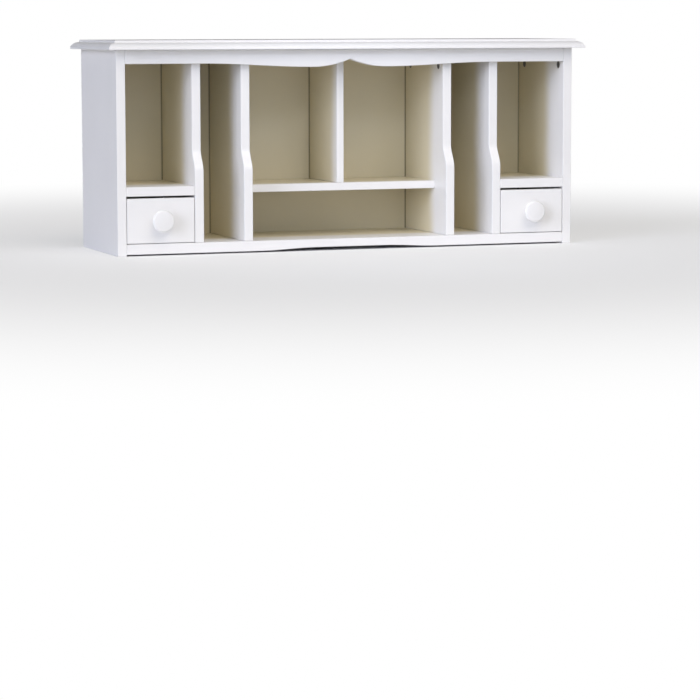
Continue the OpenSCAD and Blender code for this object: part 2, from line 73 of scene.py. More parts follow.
# %% Merge patches into a piece
MM = 0.001


def corners_mm(name):
    """Lowest and highest corner of a construction node, in millimetres."""
    low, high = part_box(name)
    return np.array(low) / MM, np.array(high) / MM


def make_piece(name, patches, body, finish, nodes=(), sharp=None):
    """One object from patches of (points, normals, faces, grain, arris), with millimetre points.

    With sharp, an angle in degrees, the normals are left to Blender, which keeps edges that turn by
    more than that crisp.
    """
    points = np.concatenate([p[0] for p in patches])
    start = np.cumsum([0] + [len(p[0]) for p in patches])
    merged, first, index = np.unique(
        np.round(points, 4), axis=0, return_index=True, return_inverse=True)
    index = index.reshape(-1)
    faces = [index[p[2] + s] for p, s in zip(patches, start)]
    normals = [p[1][p[2].reshape(-1)] for p in patches]
    size = np.concatenate([np.full(len(f), f.shape[1]) for f in faces])

    mesh = bpy.data.meshes.new(name)
    mesh.vertices.add(len(merged))
    mesh.vertices.foreach_set("co", (points[first] * MM).astype(np.float32).ravel())
    mesh.loops.add(int(size.sum()))
    mesh.loops.foreach_set("vertex_index", np.concatenate([f.ravel() for f in faces]).astype(np.int32))
    mesh.polygons.add(len(size))
    mesh.polygons.foreach_set("loop_start", (np.cumsum(size) - size).astype(np.int32))
    mesh.update(calc_edges=True)
    mesh.shade_smooth()
    if sharp:
        mesh.set_sharp_from_angle(angle=math.radians(sharp))
    else:
        mesh.normals_split_custom_set(np.concatenate(normals))
    grain = mesh.attributes.new("grain", "FLOAT_VECTOR", "POINT")
    grain.data.foreach_set("vector", (np.concatenate([p[3] for p in patches])[first] * MM).ravel())
    arris = mesh.attributes.new("arris", "FLOAT", "POINT")
    arris.data.foreach_set("value", np.concatenate([p[4] for p in patches])[first])
    if mesh.validate():
        print("  mended", name)

    piece = bpy.data.objects.new(name, mesh)
    bpy.context.scene.collection.objects.link(piece)
    mesh.materials.append(finish)
    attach(piece, body)
    if nodes:
        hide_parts(*nodes)


def tube_quads(rings, around):
    """Faces between neighbouring rings of a grid, closed round."""
    here = np.arange(around)
    there = np.roll(here, -1)
    row = (np.arange(rings - 1) * around)[:, None]
    quads = np.stack([row + here, row + there, row + there + around, row + here + around], axis=-1)
    return quads.reshape(-1, 4)


# %% [markdown]
# ## Outlines
#
# A board is an outline given a thickness. The saw leaves sharp corners, and sanding takes them off, so
# every corner of an outline becomes a small arc. Knowing the arc, its normals come free: they swing
# from one edge's normal to the next one's.

# %% Round an outline's corners
def rounded(corners, radius, steps=4, closed=True):
    """An outline's points and outward normals, with each corner of over 30 degrees turned into an arc.

    For edge normals n0 and n1, the arc's centre is corner - radius (n0 + n1) / (1 + n0.n1), on the other
    side for an inward corner. Points of a smooth run keep their place and take the mean normal.
    """
    corners = np.asarray(corners, float)
    edge = np.roll(corners, -1, axis=0) - corners
    after = np.stack([edge[:, 1], -edge[:, 0]], axis=1)
    after /= np.linalg.norm(after, axis=1, keepdims=True)
    before = np.roll(after, 1, axis=0)
    if not closed:
        before[0], after[-1] = after[0], before[-1]
    cross = before[:, 0] * after[:, 1] - before[:, 1] * after[:, 0]
    dot = (before * after).sum(axis=1)
    turn = np.arctan2(cross, dot)
    arc = np.abs(turn) > math.radians(30)
    count = np.where(arc, steps + 1, 1)
    which = np.repeat(np.arange(len(corners)), count)
    step = np.arange(len(which)) - np.repeat(np.cumsum(count) - count, count)
    share = np.where(arc[which], step / steps, 0.5)
    angle = np.arctan2(before[:, 1], before[:, 0])[which] + share * turn[which]
    normal = np.stack([np.cos(angle), np.sin(angle)], axis=1)
    signed = np.where(arc, radius * np.sign(turn), 0.0)[:, None]
    centre = corners - signed * (before + after) / (1 + dot)[:, None]
    return centre[which] + signed[which] * normal, normal


def rectangle(low, high):
    """Corners of a rectangle, anticlockwise."""
    return np.array([[low[0], low[1]], [high[0], low[1]], [high[0], high[1]], [low[0], high[1]]])


# %% [markdown]
# ## Boards with eased arrises
#
# A sharp arris catches no light and chips the lacquer, so every board's arrises are eased to a round of
# about a millimetre. Each board is a stack of rings: the outline moves in and up round a quarter
# circle, runs straight through the thickness, and comes back in round another. A bevel would also do
# it, but the rings give exact normals and need no clean-up where an edge is curved.
#
# Some faces have drilled holes: for cam locks, and for the pegs that locate the hutch on its desk. The
# flat is then filled round the holes' rims, and each hole gets a wall and an end.

# %% Boards
PLANES = {"xy": (0, 1, 2), "yz": (1, 2, 0), "xz": (0, 2, 1)}
EASE = 1.0


def flat_face(ring, normal, holes=()):
    """Patches that fill a flat ring of points, with blind holes given as (centre, radius, depth)."""
    normal = np.asarray(normal, float)
    side = np.cross(normal, [0, 0, 1] if abs(normal[2]) < 0.5 else [1, 0, 0])
    side /= np.linalg.norm(side)
    up = np.cross(normal, side)
    angle = np.linspace(0, 2 * np.pi, 40, endpoint=False)[:, None]
    patches, rims = [], []
    for centre, radius, depth in holes:
        radial = np.cos(angle) * side + np.sin(angle) * up
        rim = centre + radius * radial
        end = rim - depth * normal
        rims.append(rim)
        wall = np.concatenate([rim, end])
        patches.append((wall, -np.concatenate([radial, radial]), tube_quads(2, 40)))
        patches.append((end, np.tile(normal, (40, 1)), np.arange(40)[None, :]))
    points = np.concatenate([ring] + rims)
    if rims:
        loops = [[Vector(p) for p in loop] for loop in [ring] + rims]
        faces = np.array(tessellate_polygon(loops))
        a, b, c = points[faces[:, 0]], points[faces[:, 1]], points[faces[:, 2]]
        wrong = np.cross(b - a, c - a) @ normal < 0
        faces[wrong] = faces[wrong][:, ::-1]
    else:
        faces = np.arange(len(ring))[None, :]
        area = np.cross(ring - ring[0], np.roll(ring, -1, axis=0) - ring[0]).sum(axis=0)
        if area @ normal < 0:
            faces = faces[:, ::-1]
    patches.append((points, np.tile(normal, (len(points), 1)), faces))
    return patches


def board_patches(outline, low, high, plane, ease=EASE, corner=1.5, along=0, holes=()):
    """Patches of a board: its outline lies in plane, and its thickness runs from low to high.

    For an angle a from 0 to 90 degrees, a ring lies ease (1 - sin a) inside the outline, at a depth of
    ease (1 - cos a) under the flat, with its normal at a from the flat's. Holes are (point, direction
    out of the face, radius, depth).
    """
    u, v, w = PLANES[plane]
    spots, out = rounded(outline, corner)
    quarter = np.radians(np.linspace(0, 90, 4))
    inset = ease * (1 - np.sin(np.concatenate([quarter, quarter[::-1]])))
    level = np.concatenate([low + ease * (1 - np.cos(quarter)), high - ease * (1 - np.cos(quarter[::-1]))])
    lean = np.concatenate([-np.cos(quarter), np.cos(quarter[::-1])])
    spread = np.sqrt(1 - lean ** 2)
    rings, around = len(level), len(spots)
    points = np.zeros((rings, around, 3))
    normals = np.zeros_like(points)
    points[:, :, [u, v]] = spots - inset[:, None, None] * out
    points[:, :, w] = level[:, None]
    normals[:, :, [u, v]] = spread[:, None, None] * out
    normals[:, :, w] = lean[:, None]
    quads = tube_quads(rings, around)
    patches = []

    keep = np.ones(len(quads), bool)
    for axis_sign, ring in ((-1, points[0]), (1, points[-1])):
        normal = np.zeros(3)
        normal[w] = axis_sign
        mine = [(np.array(p), r, d) for p, way, r, d in holes if np.dot(way, normal) > 0.9]
        patches += flat_face(ring, normal, mine)
    middle = rings // 2 - 1
    for j in range(around):
        strip = normals[middle, j]
        a, b = points[middle, j], points[middle, (j + 1) % around]
        mine = [
            (np.array(p), r, d) for p, way, r, d in holes
            if np.dot(way, strip) > 0.99 and np.linalg.norm(b - a) > 20
            and 0 < np.dot(np.array(p) - a, b - a) < np.dot(b - a, b - a)
        ]
        if mine:
            keep[middle * around + j] = False
            strip_ring = np.array([a, b, points[middle + 1, (j + 1) % around], points[middle + 1, j]])
            patches += flat_face(strip_ring, strip, mine)
    if plane == "xz":
        quads = quads[:, ::-1]
    patches.append((points.reshape(-1, 3), normals.reshape(-1, 3), quads[keep]))

    axes = [u, v, w] if along == u else [v, u, w]
    arris = np.repeat(np.abs(2 * lean * spread), around)
    finished = []
    for p, n, f in patches:
        grain = p[:, axes] - np.eye(3)[2] * low
        round_share = arris if len(p) == rings * around else np.zeros(len(p))
        finished.append((p, n, f, grain, round_share))
    return finished


# %% [markdown]
# ## Turned pieces
#
# Knobs are turned, and so, in a way, are the heads of screws and cam locks: a profile swept round an
# axis. The driver recess of a screw or lock isn't round, so it is pressed into the turned face as a
# depth that depends on the place, the way a punch does it.

# %% Turn a profile round an axis
def turned_patches(profile, at, way, around=64, press=None, rounding=0.4):
    """Patches of a profile of (radius, height) points, from the foot's centre up to the head's centre.

    A point is at + radius (cos t side + sin t up) + height way. press(x, y) is a depth that is taken off
    the head, whose centre is at height zero.
    """
    spots, out = rounded(profile, rounding, steps=3, closed=False)
    way = np.asarray(way, float)
    side = np.cross([0, 0, 1] if abs(way[2]) < 0.5 else [0, 1, 0], way)
    up = np.cross(way, side)
    t = np.linspace(0, 2 * np.pi, around, endpoint=False)[None, :, None]
    radial = np.cos(t) * side + np.sin(t) * up
    r, h = spots[:, 0][:, None, None], spots[:, 1][:, None, None]
    height = np.broadcast_to(h, (len(spots), around, 1)).copy()
    if press:
        x, y = r * np.cos(t), r * np.sin(t)
        head = (out[:, 1] > 0.9)[:, None, None]
        height -= np.where(head, press(x, y), 0)
    points = np.asarray(at, float) + r * radial + height * way
    normals = out[:, 0][:, None, None] * radial + out[:, 1][:, None, None] * way
    normals = np.broadcast_to(normals, points.shape)
    last = (len(spots) - 1) * around + np.arange(around)
    flat_points, flat_normals = points.reshape(-1, 3), normals.reshape(-1, 3)
    zero = np.zeros(len(flat_points))
    patches = [(flat_points, flat_normals, tube_quads(len(spots), around), flat_points, zero)]
    for ring, normal in ((np.arange(around)[::-1], -way), (last, way)):
        p = flat_points[ring]
        patches.append((p, np.tile(normal, (around, 1)), np.arange(around)[None, :], p, zero[:around]))
    return patches


def cross_press(half_width, reach, depth, soft=0.25):
    """A driver's cross: full depth where the smaller of |x| and |y| is under half_width and the larger
    is under reach, with sides that slope over the distance soft."""
    def press(x, y):
        """Depth of the cross at a place on the head."""
        near, far = np.minimum(abs(x), abs(y)), np.maximum(abs(x), abs(y))
        arm = np.clip((half_width - near) / soft + 0.5, 0, 1) * np.clip((reach - far) / soft + 0.5, 0, 1)
        return depth * arm
    return press

# %% [markdown]
# ## Finishes
#
# Each finish starts from the real one: what it is, how it was put on, and what that does to light. A
# colour is written as the sRGB hex that a colour chart gives, and turned to linear light once. One small
# function adds a node to a material. Patterns are sized in millimetres.

# %% Colour and node helpers
def linear(code, alpha=1.0):
    """sRGB hex to linear light: c / 12.92 below 0.04045, else ((c + 0.055) / 1.055) to the 2.4."""
    c = np.array([int(code[i:i + 2], 16) for i in (1, 3, 5)]) / 255
    return (*np.where(c <= 0.04045, c / 12.92, ((c + 0.055) / 1.055) ** 2.4).tolist(), alpha)


def add(tree, kind, inputs=None, **settings):
    """Adds a node. settings are its properties, and inputs gives sockets a value or another's output."""
    made = tree.nodes.new("ShaderNode" + kind)
    for name, value in settings.items():
        setattr(made, name, value)
    for key, value in (inputs or {}).items():
        if isinstance(value, bpy.types.NodeSocket):
            tree.links.new(value, made.inputs[key])
        else:
            made.inputs[key].default_value = value
    return made


def new_finish(name, slot, **shader):
    """A material whose shader has these sockets set, as (material, tree, shader)."""
    made = bpy.data.materials.new(name)
    made.use_nodes = True
    made["slot"] = slot
    bsdf = made.node_tree.nodes["Principled BSDF"]
    for key, value in shader.items():
        bsdf.inputs[key.replace("_", " ")].default_value = value
    return made, made.node_tree, bsdf


def ramp(tree, value, low, high, to_low=0.0, to_high=1.0, smooth=True):
    """The output of a node that carries value from low..high to to_low..to_high."""
    kind = "SMOOTHSTEP" if smooth else "LINEAR"
    return add(tree, "MapRange", {0: value, 1: low, 2: high, 3: to_low, 4: to_high},
               interpolation_type=kind).outputs[0]


def blend_colours(tree, share, one, other, mode="MIX"):
    """The output of a node that mixes two colours."""
    return add(tree, "Mix", {0: share, 6: one, 7: other}, data_type="RGBA", blend_type=mode).outputs[2]


# %% [markdown]
# ## White satin lacquer
#
# The boards are medium-density fibreboard under an acid-cured white lacquer. The spray settles into a
# faint orange peel, waves a few millimetres long and some hundredths of a millimetre high, drawn here at
# 5 mm so that it can be seen. Light catches it as a soft, slightly broken sheen. The film is thin at
# the arrises, where the sanded edge of the board drinks it: they are a little greyer and duller. Inside
# the bays the colour turns a warm ivory towards the back, which is painted shade, while the faces outside
# stay a clean white. On the back panel a dark band beside each board that meets it is painted shade in
# the corners.

# %% White satin lacquer
def lacquer(name, slot, own_colour, painted_shade_colour, roughness, peel, corners=None):
    """Sprayed lacquer: own colour outside, painted warm shade at the back of the bays, a peel this strong.

    corners, for the painted corner shade on the back panel, is (faces, end, shelf): the distances from the
    middle between which each tall board covers it, the same for the short divider, and the height where
    that one starts.
    """
    made, tree, bsdf = new_finish(name, slot, IOR=1.5, Coat_Weight=0.12, Coat_Roughness=0.28)
    place = add(tree, "TexCoord").outputs["Object"]
    x, y, z = add(tree, "SeparateXYZ", {0: place}).outputs
    across = add(tree, "Math", {0: x}, operation="ABSOLUTE").outputs[0]
    indoors = add(tree, "Math", {0: across, 1: INNER_HALF}, operation="LESS_THAN").outputs[0]
    under = add(tree, "Math", {0: z, 1: ROOF}, operation="LESS_THAN").outputs[0]
    front_of_back = add(tree, "Math", {0: y, 1: BACK_MIDDLE}, operation="LESS_THAN").outputs[0]
    inside = add(tree, "Math", {0: indoors, 1: under}, operation="MULTIPLY").outputs[0]
    inside = add(tree, "Math", {0: inside, 1: front_of_back}, operation="MULTIPLY").outputs[0]
    cloud = add(tree, "TexNoise", {"Vector": place, "Scale": 7.0, "Detail": 3.0}).outputs[0]
    depth = add(tree, "MapRange", {0: cloud, 3: -0.012, 4: 0.012}).outputs[0]
    depth = add(tree, "Math", {0: y, 1: depth}, operation="ADD").outputs[0]
    # Painted shade: inside the bays the colour is blended towards a warm ivory with depth, for the warm
    # shade at the back of each bay.
    painted_shade = ramp(tree, depth, PAINTED_SHADE_STARTS, PAINTED_SHADE_ENDS)
    painted_shade = add(tree, "Math", {0: painted_shade, 1: inside}, operation="MULTIPLY").outputs[0]
    colour = blend_colours(tree, painted_shade, linear(own_colour), linear(painted_shade_colour))
    # Painted shade: on the back panel, a dark band beside each board that meets it, for the shade in the
    # corners.
    if corners:
        faces, end, shelf = corners
        shade = ramp(tree, across, end, end + PAINTED_CORNER_SHADE, 1.0, 0.0)
        above = add(tree, "Math", {0: z, 1: shelf}, operation="GREATER_THAN").outputs[0]
        shade = add(tree, "Math", {0: shade, 1: above}, operation="MULTIPLY").outputs[0]
        for near, far in faces:
            before = ramp(tree, across, near - PAINTED_CORNER_SHADE, near)
            after = ramp(tree, across, far, far + PAINTED_CORNER_SHADE, 1.0, 0.0)
            board = add(tree, "Math", {0: before, 1: after}, operation="MULTIPLY").outputs[0]
            shade = add(tree, "Math", {0: shade, 1: board}, operation="MAXIMUM").outputs[0]
        shade = add(tree, "Math", {0: shade, 1: inside}, operation="MULTIPLY").outputs[0]
        colour = blend_colours(tree, shade, colour, linear("#8C8366"))
    tone = add(tree, "MapRange", {0: cloud, 1: 0.3, 2: 0.7, 3: 0.975, 4: 1.0}).outputs[0]
    tone = add(tree, "CombineColor", {0: tone, 1: tone, 2: tone}).outputs[0]
    colour = blend_colours(tree, 1.0, colour, tone, "MULTIPLY")
    arris = add(tree, "Attribute", attribute_name="arris").outputs["Fac"]
    thin = add(tree, "Math", {0: arris, 1: 0.35}, operation="MULTIPLY").outputs[0]
    colour = blend_colours(tree, thin, colour, linear("#D9DADC"))
    tree.links.new(colour, bsdf.inputs["Base Color"])
    grit = add(tree, "TexNoise", {"Vector": place, "Scale": 60.0, "Detail": 4.0}).outputs[0]
    rough = add(tree, "MapRange", {0: grit, 1: 0.3, 2: 0.7, 3: roughness - 0.04, 4: roughness + 0.05})
    rough = add(tree, "Math", {0: arris, 1: 0.08, 2: rough.outputs[0]}, operation="MULTIPLY_ADD").outputs[0]
    tree.links.new(rough, bsdf.inputs["Roughness"])
    waves = add(tree, "TexNoise", {"Vector": place, "Scale": 200.0, "Detail": 2.0}).outputs[0]
    bump = add(tree, "Bump", {"Strength": peel, "Distance": 0.00006, "Height": waves}).outputs[0]
    tree.links.new(bump, bsdf.inputs["Normal"])
    return made


case_low, case_high = corners_mm("left_side_panel")
inner_low, inner_high = corners_mm("bottom_board")
back_low, back_high = corners_mm("back_panel")
MARGIN = 0.5
INNER_HALF = (inner_high[0] + MARGIN) * MM
ROOF = (case_high[2] + MARGIN) * MM
BACK_MIDDLE = (back_low[1] + back_high[1]) / 2 * MM
# Where the painted warm shade starts and ends, in metres along y, and the width of the painted corner
# shade.
PAINTED_SHADE_STARTS, PAINTED_SHADE_ENDS, PAINTED_CORNER_SHADE = -0.075, -0.025, 0.004


def cover(name):
    """Distances from the middle, in metres, between which a board on the right covers the back panel."""
    low, high = corners_mm(name)
    return low[0] * MM, high[0] * MM


boards = [cover(name) for name in ("right_inner_divider", "right_outer_divider", "right_side_panel")]
short = cover("centre_divider")[1], corners_mm("centre_shelf")[1][2] * MM
# The fourth colour of each lacquer is the painted warm shade at the back of the bays.
WHITE = lacquer("white_satin_lacquer", "white_lacquer", "#F4F3F1", "#E1D8BC", 0.36, 0.35)
BACK_WHITE = lacquer("lacquered_hardboard", "lacquered_back", "#F1F0EC", "#E1D8BC", 0.46, 0.20,
                     corners=(boards, *short))
# Prints where the painted warm shade inside the bays starts and ends.
print("lacquer painted_shade_runs from", PAINTED_SHADE_STARTS, "to", PAINTED_SHADE_ENDS, "m")

# %% [markdown]
# ## Bare birch plywood
#
# The drawer boxes are clear-sealed birch plywood. The faces show pale, close figure that runs along the
# board, and the edges show the plies, 1.4 mm each, light along the grain and darker across it. Both
# come from the place in the board that the mesh carries, so the plies stay true on every edge.

# %% Birch plywood
def plywood(name, slot, ply):
    """Birch plywood with plies this thick, in metres."""
    made, tree, bsdf = new_finish(name, slot, IOR=1.48, Roughness=0.5)
    place = add(tree, "Attribute", attribute_name="grain").outputs["Vector"]
    stretched = add(tree, "Mapping", {"Vector": place, "Scale": (9.0, 160.0, 20.0)}).outputs[0]
    figure = add(tree, "TexNoise", {"Vector": stretched, "Scale": 1.0, "Detail": 5.0,
                                    "Distortion": 0.6}).outputs[0]
    face = blend_colours(tree, ramp(tree, figure, 0.35, 0.65), linear("#E3CBA0"), linear("#CFAF7C"))
    through = add(tree, "SeparateXYZ", {0: place}).outputs[2]
    layer = add(tree, "Math", {0: through, 1: ply}, operation="DIVIDE").outputs[0]
    odd = add(tree, "Math", {0: layer, 1: 2.0}, operation="MODULO").outputs[0]
    odd = ramp(tree, odd, 0.92, 1.08)
    fleck = add(tree, "Mapping", {"Vector": place, "Scale": (300.0, 300.0, 700.0)}).outputs[0]
    fleck = add(tree, "TexNoise", {"Vector": fleck, "Scale": 1.0, "Detail": 3.0}).outputs[0]
    dark = blend_colours(tree, fleck, linear("#B98F5B"), linear("#A0764A"))
    colour = blend_colours(tree, odd, face, dark)
    tree.links.new(colour, bsdf.inputs["Base Color"])
    bump = add(tree, "Bump", {"Strength": 0.35, "Distance": 0.0002, "Height": figure}).outputs[0]
    tree.links.new(bump, bsdf.inputs["Normal"])
    tree.links.new(ramp(tree, figure, 0.3, 0.7, 0.42, 0.56), bsdf.inputs["Roughness"])
    return made


DRAWER_PLY = plywood("birch_plywood", "drawer_board", 0.0014)
BOTTOM_PLY = plywood("thin_birch_plywood", "drawer_bottom_board", 0.0013)

# %% [markdown]
# ## Solid woods
#
# The stop blocks are sanded pine, with growth rings a few millimetres apart, and the dowels are turned
# beech, pinkish with short dark flecks. Both are solid, so their pattern is solid too, and the end grain
# takes care of itself.

# %% Pine and beech
def solid_wood(name, slot, light, dark, ring, rough):
    """Solid wood with growth rings this far apart, in metres, along the object's X."""
    made, tree, bsdf = new_finish(name, slot, IOR=1.48, Roughness=rough)
    place = add(tree, "TexCoord").outputs["Object"]
    laid = add(tree, "Mapping", {"Vector": place, "Rotation": (0.3, 0.2, 0.0),
                                 "Scale": (0.12, 1.0, 1.0)}).outputs[0]
    rings = add(tree, "TexWave", {"Vector": laid, "Scale": 0.05 / ring, "Distortion": 2.0, "Detail": 3.0,
                                  "Detail Scale": 2.0}, wave_type="RINGS", rings_direction="X")
    fleck = add(tree, "Mapping", {"Vector": place, "Scale": (120.0, 900.0, 900.0)}).outputs[0]
    fleck = add(tree, "TexNoise", {"Vector": fleck, "Scale": 1.0, "Detail": 3.0}).outputs[0]
    share = ramp(tree, rings.outputs["Fac"], 0.2, 0.9)
    colour = blend_colours(tree, share, linear(light), linear(dark))
    colour = blend_colours(tree, ramp(tree, fleck, 0.55, 0.75, 0.0, 0.4), colour, linear(dark))
    tree.links.new(colour, bsdf.inputs["Base Color"])
    bump = add(tree, "Bump", {"Strength": 0.3, "Distance": 0.0002, "Height": fleck}).outputs[0]
    tree.links.new(bump, bsdf.inputs["Normal"])
    return made


PINE = solid_wood("sanded_pine", "raw_board", "#E6CB9A", "#C99D62", 0.003, 0.62)
BEECH = solid_wood("turned_beech", "beech", "#D8AE80", "#B98658", 0.002, 0.55)

# %% [markdown]
# ## Fittings
#
# Cam locks are die-cast zinc, straight from the mould: dull grey, with a fine cast grain. Screws and cam
# bolts are steel with a bright zinc plating, which is smoother and bluer.

# %% Zinc and plated steel
def bare_metal(name, slot, colour, shade, rough, grain, height):
    """Metal with a fine surface grain of this size and height, in metres."""
    made, tree, bsdf = new_finish(name, slot, Metallic=1.0)
    place = add(tree, "TexCoord").outputs["Object"]
    noise = add(tree, "TexNoise", {"Vector": place, "Scale": 1 / grain, "Detail": 3.0}).outputs[0]
    cloud = add(tree, "TexNoise", {"Vector": place, "Scale": 0.15 / grain, "Detail": 2.0}).outputs[0]
    mixed = blend_colours(tree, ramp(tree, cloud, 0.35, 0.65), linear(colour), linear(shade))
    tree.links.new(mixed, bsdf.inputs["Base Color"])
    tree.links.new(ramp(tree, noise, 0.3, 0.7, rough - 0.07, rough + 0.09), bsdf.inputs["Roughness"])
    bump = add(tree, "Bump", {"Strength": 0.5, "Distance": height, "Height": noise}).outputs[0]
    tree.links.new(bump, bsdf.inputs["Normal"])
    return made


ZINC = bare_metal("die_cast_zinc", "zinc_alloy", "#8E8F91", "#7A7B7E", 0.46, 0.0008, 0.00008)
STEEL = bare_metal("zinc_plated_steel", "zinc_plated_steel", "#C9CDD3", "#B4B8BF", 0.28, 0.0005, 0.00002)

# %% [markdown]
# ## The hidden fasteners
#
# Dowels and cam bolts sit inside the boards and keep the shapes of the construction model. They only
# need their finish.

# %% Finish the nodes that stay
KEPT = {
    BEECH: ["top_dowels", "base_dowels", "shelf_dowels", "rail_dowels", "left_drawer_dowels",
            "right_drawer_dowels"],
    STEEL: ["top_cam_bolts", "base_cam_bolts"],
}
for finish, names in KEPT.items():
    for name in names:
        for place in frame["nodes"][name].material_slots:
            place.material = finish
print("kept:", sum(len(names) for names in KEPT.values()), "nodes of hidden fasteners")

# %% [markdown]
# ## Side panels
#
# A side panel stands on the desk. Its lower edge has two blind holes for the pegs that locate the
# hutch, and its inner face has two for the cam locks that pull it up to the top board. The holes' places
# come from the construction model: a lock fills its hole but for a hair's breadth.

# %% Side panels
lock_low, lock_high = corners_mm("top_cam_locks")
base_low, base_high = corners_mm("base_cam_locks")
lock_r = (lock_high[2] - lock_low[2]) / 2
LOCK_Z = lock_low[2] + lock_r
PANEL_LOCK_YS = (lock_low[1] + lock_r, lock_high[1] - lock_r)
BOARD_LOCK_YS = (base_low[1] + lock_r, base_high[1] - lock_r)
HOLE_R = lock_r + 0.1
LOCK_DEEP, LOCK_SUNK, PEG_DEEP = 12.5, 0.15, 10.0
mounts = {m["name"]: m for m in frame["record"]["mounts"]}
peg = mounts["desk_locating_holes"]["dims"]


def lock_holes(x, way, ys):
    """Holes for the top cam locks in the face at x, which looks along way."""
    return [((x, y, LOCK_Z), (way, 0, 0), HOLE_R, LOCK_DEEP) for y in ys]


for name, way in (("left_side_panel", 1), ("right_side_panel", -1)):
    low, high = corners_mm(name)
    inner = high[0] if way > 0 else low[0]
    middle = (low[0] + high[0]) / 2
    pegs = [((middle, s * peg["spacing_y_mm"] / 2, low[2]), (0, 0, -1), peg["hole_r_mm"], PEG_DEEP)
            for s in (-1, 1)]
    patches = board_patches(rectangle(low[1:], high[1:]), low[0], high[0], "yz", along=2,
                            holes=lock_holes(inner, way, PANEL_LOCK_YS) + pegs)
    make_piece(name + "_lacquered", patches, "case", WHITE, [name])
print("side panels", np.round(high - low, 1), "mm, locks at z", round(LOCK_Z, 1), "mm")

# %% [markdown]
# ## Tall dividers
#
# A divider's front is flush with the case beside the drawer. Above the drawer it steps back in an S, by
# the thickness of the top rail, so that it can run up behind the rail. The S is half a cosine wave, which
# leaves and arrives upright.

# %% Tall dividers
rail_low, rail_high = corners_mm("top_rail")
CURVE_ABOVE_SHELF, CURVE_H = 26.0, 45.0
CURVE_Z = corners_mm("left_drawer_shelf")[1][2] + CURVE_ABOVE_SHELF
ROUND_EDGE = {"ease": 1.5, "corner": 1.9}


def ease(t):
    """0 to 1 with a level start and end: (1 - cos 180 t) / 2."""
    return (1 - np.cos(np.pi * np.clip(t, 0, 1))) / 2


for name, way in (("left_outer_divider", 0), ("left_inner_divider", 1), ("right_inner_divider", -1),
                  ("right_outer_divider", 0)):
    low, high = corners_mm(name)
    t = np.linspace(1, 0, 29)
    curve = np.stack([low[1] + (rail_high[1] - low[1]) * ease(t), CURVE_Z + CURVE_H * t], axis=1)
    outline = np.concatenate([[[low[1], low[2]], [high[1], low[2]], [high[1], high[2]],
                               [rail_high[1], high[2]]], curve])
    holes = lock_holes(high[0] if way > 0 else low[0], way, BOARD_LOCK_YS) if way else []
    patches = board_patches(outline, low[0], high[0], "yz", along=2, holes=holes, **ROUND_EDGE)
    make_piece(name + "_lacquered", patches, "case", WHITE, [name])
print("tall dividers step back", round(rail_high[1] - low[1], 1), "mm over", CURVE_H, "mm")

# %% [markdown]
# ## Shelves, short divider, bottom board and back
#
# These are plain boards. The bottom board has blind holes underneath for the cam locks that draw the
# side panels on to it. The back is thin hardboard that slides into grooves, so its edges hide in the
# boards round it.

# %% Shelves, short divider, bottom board and back
for name in ("left_drawer_shelf", "right_drawer_shelf", "centre_shelf"):
    low, high = corners_mm(name)
    patches = board_patches(rectangle(low[:2], high[:2]), low[2], high[2], "xy")
    make_piece(name + "_lacquered", patches, "case", WHITE, [name])

low, high = corners_mm("centre_divider")
patches = board_patches(rectangle(low[1:], high[1:]), low[0], high[0], "yz", along=2, **ROUND_EDGE)
make_piece("centre_divider_lacquered", patches, "case", WHITE, ["centre_divider"])

BASE_X = base_high[0] - lock_r
base_holes = [((s * BASE_X, y, inner_low[2]), (0, 0, -1), HOLE_R, base_high[2] - inner_low[2] + 0.1)
              for s in (-1, 1) for y in BOARD_LOCK_YS]
patches = board_patches(rectangle(inner_low[:2], inner_high[:2]), inner_low[2], inner_high[2], "xy",
                        holes=base_holes)
make_piece("bottom_board_lacquered", patches, "case", WHITE, ["bottom_board"])

patches = board_patches(rectangle(back_low[[0, 2]], back_high[[0, 2]]), back_low[1], back_high[1], "xz",
                        ease=0.4, corner=0.8)
make_piece("back_panel_lacquered", patches, "case", BACK_WHITE, ["back_panel"])
print("back panel", np.round(back_high - back_low, 1), "mm")

# %% [markdown]
# ## Rails
#
# The top rail's lower edge hangs in two shallow lobes that meet in a pointed notch. Each side of the
# notch is part of a parabola, and the lobes run out to the ends in half a cosine wave. The bottom rail
# has a flat arch between two easy curves. Both edges are given as heights at a distance from the
# middle and mirrored. A rail shows its lower arris, so it is eased a little more than the boards.

# %% Rails
def rail_piece(name, distances, heights):
    """A rail from the heights of its lower edge at distances from the middle."""
    low, high = corners_mm(name)
    right = np.stack([distances, heights], axis=1)
    left = right[:0:-1] * [-1, 1]
    outline = np.concatenate([left, right, [[high[0], high[2]], [low[0], high[2]]]])
    patches = board_patches(outline, low[1], high[1], "xz", ease=1.5, corner=1.6)
    make_piece(name + "_lacquered", patches, "case", WHITE, [name])
    print(name, "lower edge", round(float(heights.min()), 1), "to", round(float(heights.max()), 1), "mm")


LOBE_X, LOBE_RUN, LOBE_DROP, NOTCH = 75.0, 225.0, 7.6, 15.2
near = np.linspace(0, LOBE_X, 13)
far = LOBE_X + LOBE_RUN * np.linspace(0, 1, 29)[1:]
heights = rail_low[2] + np.concatenate([
    NOTCH * (1 - near / LOBE_X) ** 2, LOBE_DROP * ease((far - LOBE_X) / LOBE_RUN), [LOBE_DROP]])
rail_piece("top_rail", np.concatenate([near, far, [rail_high[0]]]), heights)

ARCH_FLAT, ARCH_HALF, ARCH_RISE = 70.0, 185.0, 4.0
foot_low, foot_high = corners_mm("bottom_rail")
bend = np.linspace(ARCH_FLAT, ARCH_HALF, 21)
heights = foot_low[2] + np.concatenate([
    [ARCH_RISE], ARCH_RISE * (1 - ease((bend - ARCH_FLAT) / (ARCH_HALF - ARCH_FLAT))), [0]])
rail_piece("bottom_rail", np.concatenate([[0], bend, [foot_high[0]]]), heights)

# %% [markdown]
# ## Moulded top board
#
# A cutter runs along all four edges of the top board: an upright lip, a round, and a small step up to
# the flat. The profile is carried round as a stack of rings. Each ring is the board's rectangle, made
# smaller by the profile's inset, so the mitres at the corners fall out exactly.

